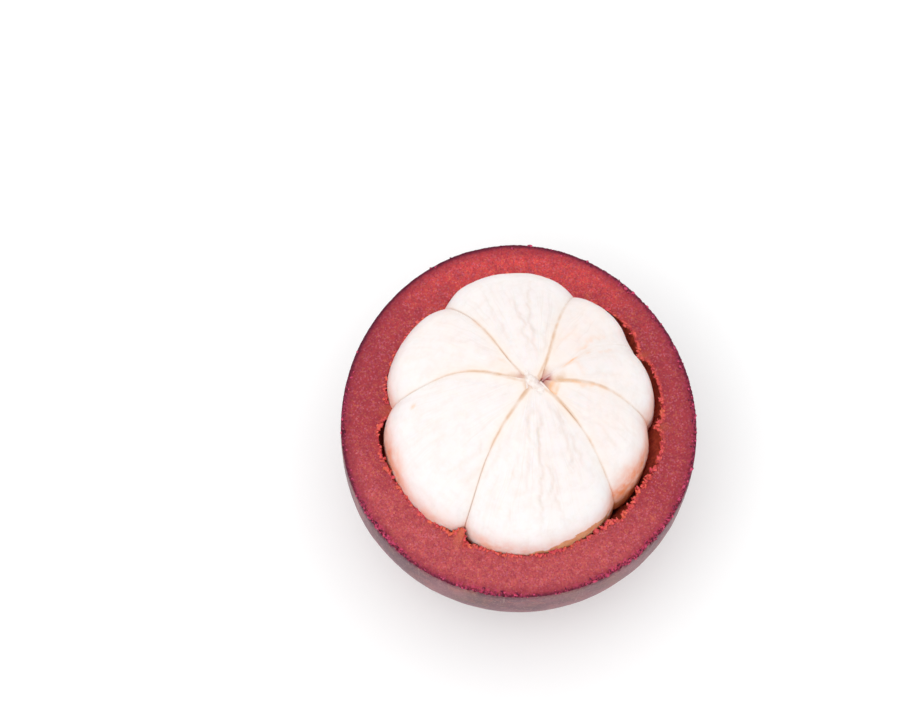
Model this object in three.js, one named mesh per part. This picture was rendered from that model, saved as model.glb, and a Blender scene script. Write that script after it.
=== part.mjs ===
// A mangosteen cut open: the lower half of the rind, with the whole ball of flesh standing in it.
// Millimetres, +Z up. The fruit stands on the woody rosette under it. The origin is the middle of
// that flat spot, and the cut face is level.
import * as THREE from 'three';

// ---- Driving dimensions ------------------------------------------------------------------------

// The rind's skin, a slightly squarish ball cut above its widest line.
const CUT_HEIGHT = 28.5;
const RIM_RADIUS = { x: 29.95, y: 31.65 };
const WIDEST_HEIGHT = 25;
const SKIN_BOTTOM = 0.9;
const SKIN_HALF_ABOVE = 26;            // from the widest line up to where the whole fruit ended
const SKIN_FULLNESS = 2.2;            // 2 is an ellipse, more is squarer
const RIM_WAVES = [                    // how the grown outline strays from an ellipse
  { count: 1, height: 0.5, at: 246 },
  { count: 2, height: 0.15, at: 137 },
  { count: 3, height: 0.3, at: 333 },
];
const BELLY_LEAN = { height: 0.4, at: 240 };  // the belly hangs out more on this side

// The stigma rosette: one flat lobe below each segment of the flesh.
const ROSETTE_RADIUS = 7.0;
const ROSETTE_NOTCH_RADIUS = 4.9;
const ROSETTE_GROOVE = 0.6;
const ROSETTE_CENTRE_RADIUS = 2.0;
const ROSETTE_EDGE = 0.4;              // how far its edges slope in
const ROSETTE_MARGIN = 2.5;            // the skin's own rings begin this far outside it

// The ball of flesh.
const FLESH_CENTRE = { x: -0.3, y: 0.4, z: 26 };
const FLESH_RADIUS = { x: 23.3, y: 25.0, up: 20, down: 19 };
const CROWN = { x: 2.4, y: 0.3 };      // where the segments meet on top
const FOOT = { x: 0.6, y: 0.3 };       // and below
const TIP_RADIUS = 2.8;                // the segments end this far from the meeting points
const DIMPLE = { depth: 1.5, radius: 3.4 };
const SHOULDER_WIDTH = 3.6;            // round shoulder of a segment beside a crease
const SHOULDER_SHARE = 0.45;           // but no wider than this share of the segment's half width
const SHOULDER_DEPTH = { crown: 0.22, rim: 0.5 };  // as a share of its width
const SHOULDER_RANGE = [5, 21];        // distance from the crown over which the creases deepen
const BULGE = 0.06;                    // rise across a segment, as a share of its half width
const FLESH_GAP = 0.32;                // between neighbouring segments
const THINNEST_EDGE = 0.3;             // of a segment, beside the core
const CORE_RADIUS = 1.15;
const CORE_CLEARANCE = 0.4;
const CORE_SHOULDER = 0.6;             // the segments' inner edges stop this far short of its ends
const CORE_PROFILE = [                 // share of its length from the bottom, share of its radius
  [0, 0.5], [0.06, 0.85], [0.2, 0.8], [0.5, 0.75], [0.8, 0.8], [0.93, 1], [0.97, 1], [1, 0.7],
];

// The seven segments, counter-clockwise from the far one. Each begins at the crease given here, which
// runs from the crown (pole), over the dome (mid) to the widest line (rim): directions in degrees. The
// rib is the rind's, standing into that crease, and swell is how far the segment's back stands out.
const SEGMENTS = [
  { pole: 44, mid: 65, rim: 62.5, rib: 1.2, swell: 0.8 },
  { pole: 165, mid: 126, rim: 126, rib: 1.4, swell: 0.1 },
  { pole: 178, mid: 165, rim: 177, rib: 2.4, swell: 0.3 },
  { pole: 228, mid: 237, rim: 244, rib: 0.9, swell: 0.3 },
  { pole: 330, mid: 324, rim: 319, rib: 0.9, swell: -0.4 },
  { pole: 360, mid: 362, rim: 356, rib: 1.1, swell: -0.2 },
  { pole: 372, mid: 390, rim: 388, rib: 1.4, swell: 0 },
];
const SWIRL_LENGTH = 3;                // how fast a crease turns away from its pole direction
const MID_RANGE = [8, 22];             // distance from the crown over which mid turns into rim

// The cavity that held the flesh: tight but for the side where the flesh has come away.
const CAVITY_GAP = 0.55;
const CAVITY_OPENINGS = [
  { gap: 1.4, at: 348, spread: 50 },
  { gap: 1.1, at: 209, spread: 16 },
];
const RIB_WIDTH = 2.4;

// How finely the surfaces are divided.
const STATIONS = 17;                   // along a segment, from crown to foot
const STATION_CROWDING = 0.38;         // 0 spaces them evenly, more crowds them at the crown
const ARC_STEPS = 12;                  // across a segment
const FLANK_STEPS = 2;
const INNER_STEPS = 3;                 // round the core
const RING_STEP = 4.2;                 // degrees between the rind's meridians, about
const SKIN_RINGS = 11;
const CAVITY_RINGS = 10;
const CORE_SIDES = 12;

// ---- Small tools -------------------------------------------------------------------------------

const rad = THREE.MathUtils.degToRad;
const { lerp, smoothstep, clamp } = THREE.MathUtils;

const polar = (angle, radius, height) =>
  new THREE.Vector3(Math.cos(angle) * radius, Math.sin(angle) * radius, height);

// Steps 0..count as shares from 0 to 1.
const shares = (count) => Array.from({ length: count + 1 }, (_, i) => i / count);

// Six times the volume that a list of triangles encloses: negative where they face in.
function signedVolume(points, triangles) {
  const cross = new THREE.Vector3();
  return triangles.reduce(
    (sum, [a, b, c]) => sum + points[a].dot(cross.crossVectors(points[b], points[c])), 0);
}

// One closed solid through a stack of rings of equal length, closed by a point at each end.
function loft(rings, firstTip, lastTip) {
  const count = rings[0].length;
  const points = [firstTip, ...rings.flat(), lastTip];
  const at = (ring, i) => 1 + ring * count + (i % count);
  const triangles = [];
  for (let i = 0; i < count; i++) {
    triangles.push([0, at(0, i + 1), at(0, i)]);
    for (let ring = 0; ring + 1 < rings.length; ring++) {
      const [a, b] = [at(ring, i), at(ring, i + 1)];
      const [c, d] = [at(ring + 1, i + 1), at(ring + 1, i)];
      triangles.push([a, b, c], [a, c, d]);
    }
    triangles.push([points.length - 1, at(rings.length - 1, i), at(rings.length - 1, i + 1)]);
  }
  if (signedVolume(points, triangles) < 0) triangles.forEach((triangle) => triangle.reverse());
  const geometry = new THREE.BufferGeometry().setFromPoints(points);
  geometry.setIndex(triangles.flat());
  geometry.computeVertexNormals();
  return geometry;
}

function middle(ring) {
  const sum = new THREE.Vector3();
  ring.forEach((point) => sum.add(point));
  return sum.divideScalar(ring.length);
}

// ---- The flesh ---------------------------------------------------------------------------------

// Direction of a crease, in radians, at a distance from the line on which the segments meet.
function creaseAngle(crease, distance, isAbove) {
  if (!isAbove) return rad(crease.rim);
  const onDome = lerp(crease.mid, crease.rim, smoothstep(distance, ...MID_RANGE));
  const swirl = (crease.pole - crease.mid) * Math.exp((TIP_RADIUS - distance) / SWIRL_LENGTH);
  return rad(onDome + swirl);
}

// The crease where segment k begins. The eighth is the first again, one turn on.
function crease(k) {
  const found = SEGMENTS[k % SEGMENTS.length];
  const turn = k < SEGMENTS.length ? 0 : 360;
  return { pole: found.pole + turn, mid: found.mid + turn, rim: found.rim + turn };
}

// The smooth ball of flesh: a point, and the direction out of it, at `drop` radians down from the
// crown and at a direction round the line on which the segments meet.
function ballPoint(angle, drop) {
  const isAbove = drop < Math.PI / 2;
  const end = isAbove ? CROWN : FOOT;
  const height = isAbove ? FLESH_RADIUS.up : FLESH_RADIUS.down;
  const out = Math.sin(drop);
  const round = new THREE.Vector3(Math.cos(angle), Math.sin(angle), 0);
  const point = new THREE.Vector3(
    lerp(end.x, FLESH_CENTRE.x, out) + FLESH_RADIUS.x * out * round.x,
    lerp(end.y, FLESH_CENTRE.y, out) + FLESH_RADIUS.y * out * round.y,
    FLESH_CENTRE.z + height * Math.cos(drop));
  const outward = new THREE.Vector3(
    out * round.x / FLESH_RADIUS.x, out * round.y / FLESH_RADIUS.y, Math.cos(drop) / height).normalize();
  return { point, outward };
}

// How far the rounded shoulder and the bulge of a segment lie below its back, `across` from -1 to 1.
// The creases deepen away from the crown: `deepening` is 0 at the crown and 1 from the rim down.
function lobeSink(across, halfWidth, deepening) {
  const width = Math.min(SHOULDER_WIDTH, SHOULDER_SHARE * halfWidth);
  const fromCrease = (1 - Math.abs(across)) * halfWidth;
  const over = clamp(1 - fromCrease / width, 0, 1);
  const depth = width * lerp(SHOULDER_DEPTH.crown, SHOULDER_DEPTH.rim, deepening);
  const shoulder = depth * (1 - Math.sqrt(1 - over * over));
  return shoulder + BULGE * halfWidth * across * across;
}

// The drop at a share of the way along a segment.
function dropOf(share) {
  const first = Math.asin(TIP_RADIUS / FLESH_RADIUS.x);
  return lerp(first, Math.PI - first, lerp(share, share * share, STATION_CROWDING));
}

// How far a segment's back stands out from the ball, `across` from -1 to 1.
const swellAt = (swell, across) => swell * (1 - across ** 4);

const coreTop = FLESH_CENTRE.z + FLESH_RADIUS.up - DIMPLE.depth;
const coreBottom = FLESH_CENTRE.z - FLESH_RADIUS.down + CAVITY_GAP;

// The line on which the segments meet, at a height.
function coreLine(height) {
  const share = (height - coreBottom) / (coreTop - coreBottom);
  return new THREE.Vector3(lerp(FOOT.x, CROWN.x, share), lerp(FOOT.y, CROWN.y, share), height);
}

// One closed ring of a segment: over its back, and down both flanks to the core.
function segmentRing(k, share) {
  const drop = dropOf(share);
  const distance = FLESH_RADIUS.x * Math.sin(drop);
  const isAbove = drop < Math.PI / 2;
  const from = creaseAngle(crease(k), distance, isAbove);
  const to = creaseAngle(crease(k + 1), distance, isAbove);
  const halfWidth = distance * (to - from) / 2;
  const inset = (radius) => FLESH_GAP / 2 / radius;
  const dimple = DIMPLE.depth * Math.exp(-((distance / DIMPLE.radius) ** 2));
  const deepening = isAbove ? smoothstep(distance, ...SHOULDER_RANGE) : 1;

  const back = shares(ARC_STEPS).map((step) => {
    const across = Math.sin((step - 0.5) * Math.PI);
    const angle = lerp(from + inset(distance), to - inset(distance), (across + 1) / 2);
    const { point, outward } = ballPoint(angle, drop);
    const swell = swellAt(SEGMENTS[k].swell, across) * Math.sin(drop);
    point.addScaledVector(outward, swell - lobeSink(across, halfWidth, deepening));
    if (isAbove) point.z -= dimple;
    return point;
  });

  const radius = Math.max(CORE_RADIUS + CORE_CLEARANCE, (FLESH_GAP + THINNEST_EDGE) / (to - from));
  const centre = coreLine(lerp(coreTop - CORE_SHOULDER, coreBottom + CORE_SHOULDER, share));
  const inner = shares(INNER_STEPS).map((step) =>
    polar(lerp(to - inset(radius), from + inset(radius), step), radius, 0).add(centre));
  const steps = shares(FLANK_STEPS + 1).slice(1, -1);
  const flank = (a, b) => steps.map((step) => a.clone().lerp(b, step));
  return [...back, ...flank(back.at(-1), inner[0]), ...inner, ...flank(inner.at(-1), back[0])];
}

function segmentSolid(k) {
  const rings = shares(STATIONS - 1).map((share) => segmentRing(k, share));
  return loft(rings, middle(rings[0]), middle(rings.at(-1)));
}

// The slim strand in the middle, thicker and knobby where it broke away from the stalk.
function coreSolid() {
  const rings = CORE_PROFILE.map(([share, width]) => {
    const centre = coreLine(lerp(coreBottom, coreTop, share));
    return shares(CORE_SIDES).slice(1).map((step) =>
      polar(step * 2 * Math.PI, CORE_RADIUS * width, 0).add(centre));
  });
  return loft(rings, middle(rings[0]), middle(rings.at(-1)));
}

// ---- The rind ----------------------------------------------------------------------------------

// The rind's meridians: for each, its direction, how far across its segment it is, from -1 to 1, how far
// from the nearest crease, and the height of the rib there.
const meridians = SEGMENTS.flatMap((segment, k) => {
  const [from, to] = [crease(k).rim, crease(k + 1).rim];
  const steps = Math.round((to - from) / RING_STEP);
  return shares(steps).slice(0, -1).map((step) => ({
    angle: rad(lerp(from, to, step)),
    across: 2 * step - 1,
    fromCrease: FLESH_RADIUS.x * rad(to - from) * Math.min(step, 1 - step),
    rib: (step < 0.5 ? segment : SEGMENTS[(k + 1) % SEGMENTS.length]).rib,
    swell: segment.swell,
  }));
});

// Radius of the skin as a share of its widest, at a height.
function skinFullness(height) {
  const reach = height > WIDEST_HEIGHT ? SKIN_HALF_ABOVE : WIDEST_HEIGHT - SKIN_BOTTOM;
  const share = Math.abs(height - WIDEST_HEIGHT) / reach;
  return (1 - share ** SKIN_FULLNESS) ** (1 / SKIN_FULLNESS);
}

function skinPoint(angle, height) {
  const full = skinFullness(height) / skinFullness(CUT_HEIGHT);
  const waves = RIM_WAVES.reduce(
    (sum, wave) => sum + wave.height * Math.cos(wave.count * (angle - rad(wave.at))), 0);
  const lean = BELLY_LEAN.height * Math.cos(angle - rad(BELLY_LEAN.at))
    * Math.sin(Math.PI * height / CUT_HEIGHT);
  const stray = waves * full + lean;
  return new THREE.Vector3(
    Math.cos(angle) * (RIM_RADIUS.x * full + stray),
    Math.sin(angle) * (RIM_RADIUS.y * full + stray),
    height);
}

// Height of the skin under the fruit at a radius from the axis.
function skinHeight(radius) {
  const share = radius / (RIM_RADIUS.x / skinFullness(CUT_HEIGHT));
  const rise = (1 - share ** SKIN_FULLNESS) ** (1 / SKIN_FULLNESS);
  return WIDEST_HEIGHT - (WIDEST_HEIGHT - SKIN_BOTTOM) * rise;
}

// The rosette from its flat middle out to the skin: lobes on the ground, grooves between them.
function rosetteRings() {
  const lobe = ({ across }) => Math.sqrt(1 - across * across);
  const edge = (m) => lerp(ROSETTE_NOTCH_RADIUS, ROSETTE_RADIUS, lobe(m));
  const groove = (m) => (Math.abs(m.across) === 1 ? ROSETTE_GROOVE : 0);
  const outside = (m) => edge(m) + ROSETTE_EDGE;
  return [
    meridians.map((m) => polar(m.angle, ROSETTE_CENTRE_RADIUS, 0)),
    meridians.map((m) => polar(m.angle, ROSETTE_CENTRE_RADIUS + ROSETTE_EDGE, groove(m))),
    meridians.map((m) => polar(m.angle, edge(m) - ROSETTE_EDGE, groove(m))),
    meridians.map((m) => polar(m.angle, edge(m), Math.max(groove(m), ROSETTE_EDGE))),
    meridians.map((m) => polar(m.angle, outside(m), skinHeight(outside(m)))),
  ];
}

// The skin's rings, closer together at the bottom, where it turns level.
function skinRings() {
  const lowest = skinHeight(ROSETTE_RADIUS + ROSETTE_MARGIN);
  return shares(SKIN_RINGS - 1).map((share) => {
    const height = lerp(lowest, CUT_HEIGHT, 1 - Math.cos(share * Math.PI / 2));
    return meridians.map((m) => skinPoint(m.angle, height));
  });
}

// How far the rind has come away from the flesh, beyond the tight gap, in a direction.
function openGap(angle) {
  return CAVITY_OPENINGS.reduce((sum, { gap, at, spread }) => {
    const turn = THREE.MathUtils.euclideanModulo(angle - rad(at) + Math.PI, 2 * Math.PI) - Math.PI;
    return sum + gap * Math.exp(-((turn / rad(spread)) ** 2));
  }, 0);
}

// A ring of the cavity's wall: the flesh that filled it, a little larger, with ribs at the creases.
function cavityRing(drop, height) {
  return meridians.map((m) => {
    const { point, outward } = ballPoint(m.angle, drop);
    const rib = m.rib * Math.exp(-2 * (m.fromCrease / RIB_WIDTH) ** 2);
    const swell = swellAt(m.swell, m.across);
    point.addScaledVector(outward, CAVITY_GAP + Math.sin(drop) * (openGap(m.angle) + swell - rib));
    if (height !== undefined) point.z = height;
    return point;
  });
}

function cavityRings() {
  const first = Math.acos((CUT_HEIGHT - FLESH_CENTRE.z) / FLESH_RADIUS.up);
  return shares(CAVITY_RINGS).slice(0, -1).map((share) =>
    cavityRing(lerp(first, Math.PI, share), share === 0 ? CUT_HEIGHT : undefined));
}

function rindSolid() {
  const skin = skinRings();
  const cavity = cavityRings();
  const cutFace = skin.at(-1).map((point, i) => point.clone().lerp(cavity[0][i], 0.5));
  const bottom = new THREE.Vector3(
    FOOT.x, FOOT.y, FLESH_CENTRE.z - FLESH_RADIUS.down - CAVITY_GAP);
  return loft([...rosetteRings(), ...skin, cutFace, ...cavity], new THREE.Vector3(), bottom);
}

// ---- The fruit ---------------------------------------------------------------------------------

const rindMaterial = new THREE.MeshStandardMaterial({ color: 0x8f4450, roughness: 0.7, metalness: 0 });
const fleshMaterial = new THREE.MeshStandardMaterial({ color: 0xf8f0ed, roughness: 0.4, metalness: 0 });
const coreMaterial = new THREE.MeshStandardMaterial({ color: 0xeedfd2, roughness: 0.8, metalness: 0 });

function piece(name, geometry, material) {
  const mesh = new THREE.Mesh(geometry, material.clone());
  mesh.name = name;
  return mesh;
}

const fruit = new THREE.Group();
fruit.add(piece('rind', rindSolid(), rindMaterial));
SEGMENTS.forEach((_, k) => fruit.add(piece(`aril_${k + 1}`, segmentSolid(k), fleshMaterial)));
fruit.add(piece('core', coreSolid(), coreMaterial));

export default fruit;
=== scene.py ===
import math
import random
from functools import partial

import bmesh
import bpy
from bpy.props import FloatProperty, FloatVectorProperty, IntProperty, PointerProperty
from mathutils import Matrix, Vector, noise
from mathutils.bvhtree import BVHTree
from mathutils.kdtree import KDTree


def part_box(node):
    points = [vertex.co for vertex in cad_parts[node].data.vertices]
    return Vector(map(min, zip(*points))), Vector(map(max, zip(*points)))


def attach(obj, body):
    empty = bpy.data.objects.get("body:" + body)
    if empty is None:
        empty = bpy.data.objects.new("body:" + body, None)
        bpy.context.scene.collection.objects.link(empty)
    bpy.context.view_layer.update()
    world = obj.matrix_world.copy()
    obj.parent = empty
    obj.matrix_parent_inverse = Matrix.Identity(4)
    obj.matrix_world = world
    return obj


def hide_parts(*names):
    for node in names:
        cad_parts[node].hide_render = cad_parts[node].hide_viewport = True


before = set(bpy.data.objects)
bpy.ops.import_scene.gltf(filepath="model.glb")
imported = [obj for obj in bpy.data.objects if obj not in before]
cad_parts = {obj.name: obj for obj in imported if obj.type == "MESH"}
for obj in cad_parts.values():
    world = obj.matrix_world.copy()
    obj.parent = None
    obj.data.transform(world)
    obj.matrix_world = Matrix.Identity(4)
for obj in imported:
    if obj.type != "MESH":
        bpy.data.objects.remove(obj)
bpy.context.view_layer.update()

bl_info = {
    "name": "Cut Mangosteen",
    "version": (1, 0, 0),
    "blender": (4, 5, 0),
    "location": "3D View > Sidebar > Mangosteen",
    "description": "Dresses the packed mangosteen: rind, seven arils, the scar on top, and a stage",
    "category": "Object",
}

MM = 0.001
ARILS = [f"aril_{k}" for k in range(1, 8)]
CUT_HEIGHT = 28.5 * MM
CROWN = Vector((2.4 * MM, 0.3 * MM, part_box("core")[1].z))
FLESH_MIDDLE = Vector((-0.3, 0.4, 26)) * MM
FLESH_RADIUS = 23        # in millimetres
ROSETTE_TOP = 2 * MM
ROSETTE_RADIUS = 7.6 * MM

# Surfaces of the rind, in the order of its materials.
CUT, SKIN, WALL, ROSETTE, TORN = range(5)

# A sector of the fruit is a direction and a spread in degrees, counter-clockwise from the right as
# seen from above, and how strongly it is marked. In these the knife tore the skin's edge.
TORN_EDGE = [(221, 15, 1.0), (259, 12, 0.8), (307, 20, 0.9), (345, 28, 0.3), (180, 14, 0.35),
             (35, 40, 0.25)]

# Where the inner edge tore away from the wall instead of being cut.
TORN_LIP = [(176, 10, 1.0), (208, 12, 1.0), (234, 14, 0.8), (246, 8, 1.2), (287, 22, 0.9),
            (326, 20, 1.2), (15, 40, 0.5), (150, 25, 0.15)]

# Where the flesh has come away from the rind, so that a dark gap shows.
OPEN_GAP = [(352, 40, 1.0), (317, 5, 0.9), (38, 17, 0.7), (186, 15, 0.75), (247, 5, 0.9)]

# The ribs of the rind that stand into the creases: direction in degrees, and how far in millimetres
# the torn tissue follows the crease inwards and up.
RIBS = [(245, 1.3, 1.9), (177, 1.1, 0.2), (356, 1.1, -0.4), (28, 0.9, -0.3),
        (62.5, 0.7, 0.0), (126, 0.8, 0.1)]
RIB_WIDTH = 0.6 * MM

# How strong the warm wash over the back of each aril is, from 0 to 1.
WARMTH = {"aril_1": 0.03, "aril_2": 0.14, "aril_3": 0.02, "aril_4": 0.02, "aril_5": 0.13,
          "aril_6": 0.1, "aril_7": 0.18}

# How far the side of an aril bulges towards the rind, in millimetres.
PLUMP = {"aril_6": 0.42}

# Where the lower edge of the flesh is orange: a juice stain where it touches the rind, and a painted
# reflection of the red rind on its lower sides that face sideways.
STAIN_AND_REFLECTION = [(325, 14, 1.3), (352, 16, 0.5), (290, 16, 0.4), (258, 18, 0.6), (228, 12, 0.45),
           (202, 14, 1.1), (175, 14, 0.45), (20, 30, 0.3), (120, 60, 0.2)]

# The two arils joined by a strand over the scar, and how far from the crown the tips are drawn to it.
JOINED = ("aril_1", "aril_4")
TIP_PULL = {True: 5.2 * MM, False: 4.2 * MM}

# Two arils that have almost grown together, so that only a faint fold parts them.
GROWN_TOGETHER = {"aril_6", "aril_7"}

# How far two arils that touch run into each other.
OVERLAP = 0.14 * MM

# Small holes round the scar, in millimetres from the crown: x, y, radius, how red.
PITS = [(1.0, -0.05, 0.7, 0.9), (2.2, 0.0, 0.6, 1.0), (1.5, 0.8, 1.0, 0.45),
        (-1.25, -1.25, 0.5, 0.9), (-2.7, 0.9, 0.6, 0.35), (2.3, -2.0, 0.35, 0.4)]
PIT_DEPTH = 0.6 * MM

# The strand that still joins two arils over the scar, from one end to the other: where its lumps lie
# and their radius, in millimetres from the crown.
STRAND = [(-1.5, 1.7, 0.4), (-1.2, 0.9, 0.7), (-0.8, 0.2, 0.85), (-0.2, -0.5, 0.85),
          (0.45, -1.15, 0.75), (1.05, -1.7, 0.5)]

# Veins under the surface, seen from above: direction from the crown in degrees, where they start and
# end in millimetres, how clear they are, and how far they bow to one side.
VEINS = [
    (92, 4.5, 21, 0.9, 0.6), (104, 5, 17, 0.7, -0.5), (114, 8, 21, 0.6, 0.8), (83, 4.5, 12, 0.6, 0.5),
    (77, 7, 15, 0.4, -0.4), (122, 12, 20, 0.3, 0.5), (98, 12, 20, 0.35, -0.6),
    (271.5, 4, 23, 1.0, 0.5), (266, 4.5, 11, 0.8, -0.7), (274, 12.6, 19, 0.9, 1.7),
    (263, 11, 18, 0.7, 0.5),
    (292, 4.5, 16, 0.8, 0.9), (303, 5, 16.5, 0.7, -1.0), (255, 12, 17, 0.45, 0.4),
    (257, 20, 23, 0.5, 0.3),
    (282, 16, 22, 0.5, -0.6), (246, 8, 14, 0.3, 0.4),
    (230, 9, 20, 0.4, 1.2), (222, 12, 21, 0.35, 1.5), (240, 10, 19, 0.35, 1.0), (205, 12, 20, 0.3, 1.6),
    (150, 8, 18, 0.3, -1.0), (160, 10, 20, 0.3, 1.2), (325, 8, 17, 0.35, 1.0), (338, 9, 17, 0.3, -0.8),
    (10, 8, 15, 0.3, 0.9), (35, 7, 16, 0.3, 0.8),
]

# Streaks and dots of dried orange latex, by the same measure.
STREAKS = [
    (31, 4.4, 8.6, 0.75, 0.3), (44, 8.5, 16.5, 0.3, 0.8), (57, 6, 13, 0.22, -0.5),
    (25, 12, 16.5, 0.25, 0.4),
    (357, 3.4, 12, 0.5, -0.2), (170, 8.8, 13.4, 0.75, 0.1), (131, 13.5, 16.5, 0.5, 0.2),
    (18, 5, 9, 0.25, 0.3), (150, 5, 9, 0.3, 0.2),
    (331, 2.9, 3.0, 1.8, 0), (338, 3.9, 4.0, 1.2, 0), (318, 5.4, 5.5, 1.6, 0), (317, 7.4, 7.5, 1.4, 0),
    (70, 11.6, 11.7, 0.6, 0), (185, 20.4, 20.5, 0.6, 0), (28, 10.3, 10.4, 0.4, 0),
]

# Where a skin of the rind still clings to the flesh above the lip, as strongly as it is high in
# millimetres.
CLINGING = [(299, 24, 2.9), (262, 14, 0.6), (228, 22, 0.6)]

# Where red juice has soaked in.
BLUSH = [(206, 30, 1.0), (150, 25, 0.25)]


# ---- Colours and settings ----------------------------------------------------------------------

def linear(hex_colour):
    """An sRGB hex value as the linear colour that Blender's shaders take."""
    channels = [(hex_colour >> shift & 0xFF) / 255 for shift in (16, 8, 0)]
    return tuple(c / 12.92 if c <= 0.04045 else ((c + 0.055) / 1.055) ** 2.4 for c in channels)


def colour(name, description, hex_colour):
    """A colour that the panel shows."""
    return FloatVectorProperty(
        name=name, description=description, subtype="COLOR", size=3, min=0, max=1,
        default=linear(hex_colour))


def size(name, description, millimetres):
    """A length that the panel shows."""
    return FloatProperty(
        name=name, description=description, unit="LENGTH", min=0, precision=5,
        default=millimetres * MM)


class MangosteenFlesh(bpy.types.PropertyGroup):
    """The seven arils and the scar between them."""

    white: colour("White", "Colour of the flesh", 0xEDE7E6)
    # Painted light: a paler, cooler white where the flesh faces sideways, against its shade and the red
    # light bounced from the rind.
    flank: colour("Flank", "The same flesh low down, where less pale tissue lies behind it", 0xF0F0F0)
    vein: colour("Veins", "Colour of the fine lines that run down each aril", 0xD9C9C0)
    seam: colour("Seams", "Colour of the creases between the arils", 0xD8B496)
    # Painted shade: a tan tint on the flesh beside each crease.
    painted_crease_shade: colour("Beside seams", "Colour of the flesh beside a crease", 0xF0DCCB)
    wash: colour("Wash", "Warm tint of the riper arils", 0xF8DED0)
    # Orange of the lower edges: a juice stain where the flesh touches the rind, and a painted
    # reflection of the red rind on its lower sides.
    stain_and_reflection: colour("Stain", "Juice of the rind at the arils' lower edges", 0xE8864A)
    fleck: colour("Flecks", "Orange latex dots", 0xF5A85A)
    blush: colour("Blush", "Colour where red juice has soaked in", 0xF0A9A0)
    cling: colour("Clinging skin", "Colour of the torn skin above the lip", 0xCC8044)
    pit: colour("Pits", "Broken strands in the scar", 0xB24C4C)
    pressed: size("Pressed", "The gap up to which neighbouring arils are pressed together", 1.3)
    fill: size("Fold", "How far the bottom of a crease is raised", 0.3)
    swell: size("Swell", "Height of the soft unevenness", 0.2)
    ridge: size("Ridges", "Height of the fine ridges along an aril", 0.035)
    depth: size("Depth of light", "How far light goes into the flesh", 1.9)


class MangosteenRind(bpy.types.PropertyGroup):
    """The cut face, the skin, the wall of the cavity and the rosette."""

    # The cut colour shows at the near side, partly the rind's own paler red and partly a painted sheen.
    cut: colour("Cut face", "Colour of the cut rind", 0xC95A5B)
    cut_side: colour("Cut face, sides", "Where the rind is deeper in colour", 0xB04146)
    cut_bright: colour("Cut face, far side", "Where the rind is freshest", 0xE4524E)
    cut_dark: colour("Cut face, outer band", "Just under the skin", 0x802638)
    lip: colour("Lip", "Torn inner edge", 0xF0665C)
    crumb: colour("Crumbs", "Torn outer edge", 0xD0486E)
    skin: colour("Skin", "Colour of the skin", 0x8A5860)
    skin_dark: colour("Skin, dark", "Dark patches of the skin", 0x5E3C48)
    skin_warm: colour("Skin, warm", "Reddish brown speckles", 0xA8625A)
    wall: colour("Wall", "Colour of the cavity's wall", 0xDC6A50)
    wood: colour("Rosette", "Colour of the dry stigma lobes", 0x4A3428)
    tear: size("Tear", "How far torn edges stray", 0.55)
    grain: size("Grain", "Unevenness of the cut face", 0.07)
    dent: size("Dents", "Depth of the skin's unevenness", 0.22)
    crumbs: IntProperty(
        name="Crumb count", description="Loose crumbs on the outer edge", default=320, min=0)
    shreds: IntProperty(
        name="Shred count", description="Torn bits on the inner edge", default=420, min=0)


class MangosteenStage(bpy.types.PropertyGroup):
    """The floor, the light and the camera."""

    floor: colour("Floor", "Colour of the floor", 0xFEFFFF)
    key_power: FloatProperty(
        name="Key", description="Power of the large soft light", unit="POWER", default=2.0, min=0)
    fill: FloatProperty(
        name="Fill", description="Strength of the light from all round", default=1.06, min=0)
    lens: FloatProperty(
        name="Lens", description="Focal length in millimetres", default=150, min=10)
    elevation: FloatProperty(
        name="Elevation", description="Camera's height above the horizon", unit="ROTATION",
        default=math.radians(69))
    distance: size("Distance", "From the camera to the cut face", 632)
    aside: size("Aside", "How far the camera aims left of the fruit's middle", 11.73)
    beyond: size("Beyond", "How far the camera aims above the fruit's middle", 10.75)


# ---- Shader tools ------------------------------------------------------------------------------

# How a kind of node is set unless it says otherwise: a Math node multiplies.
USUAL = {
    "Attribute": {"attribute_type": "GEOMETRY"},
    "MapRange": {"interpolation_type": "SMOOTHSTEP"},
    "Math": {"operation": "MULTIPLY"},
    "Mix": {"data_type": "RGBA"},
}


def add_node(tree, kind, *values, give=None, **settings):
    """Adds a shader node and returns its first output in use, or the one that give names.

    The values go into its inputs in use, in order. The settings go into its properties, and the
    capitalised ones into its inputs of that name. A value may be another node's output.
    """
    made = tree.nodes.new("ShaderNode" + kind)
    for name, value in {**USUAL.get(kind, {}), **settings}.items():
        if name.islower():
            setattr(made, name, value)
    filled = list(zip([socket for socket in made.inputs if socket.enabled], values))
    filled += [(made.inputs[name], settings[name]) for name in settings if not name.islower()]
    for socket, value in filled:
        if isinstance(value, bpy.types.NodeSocket):
            tree.links.new(value, socket)
        else:
            socket.default_value = (*value, 1) if socket.type == "RGBA" else value
    return made.outputs[give] if give else next(socket for socket in made.outputs if socket.enabled)


def new_material(name, **surface):
    """A material, add_node for its tree, its shader, and places on the object in millimetres."""
    material = bpy.data.materials.new(name)
    material.use_nodes = True
    shader = material.node_tree.nodes["Principled BSDF"]
    for socket, value in surface.items():
        found = shader.inputs[socket.replace("_", " ")]
        found.default_value = (*value, 1) if found.type == "RGBA" else value
    add = partial(add_node, material.node_tree)
    place = add("VectorMath", add("TexCoord", give="Object"), Scale=1 / MM, operation="SCALE")
    return material, add, shader, place


def link(shader, **outputs):
    """Links outputs of nodes to the shader's own sockets."""
    for name, output in outputs.items():
        shader.id_data.links.new(output, shader.inputs[name.replace("_", " ")])


# ---- Materials ---------------------------------------------------------------------------------
# A noise's scale is one over the width of its grains in millimetres, and then come its detail and
# its roughness.

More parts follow.
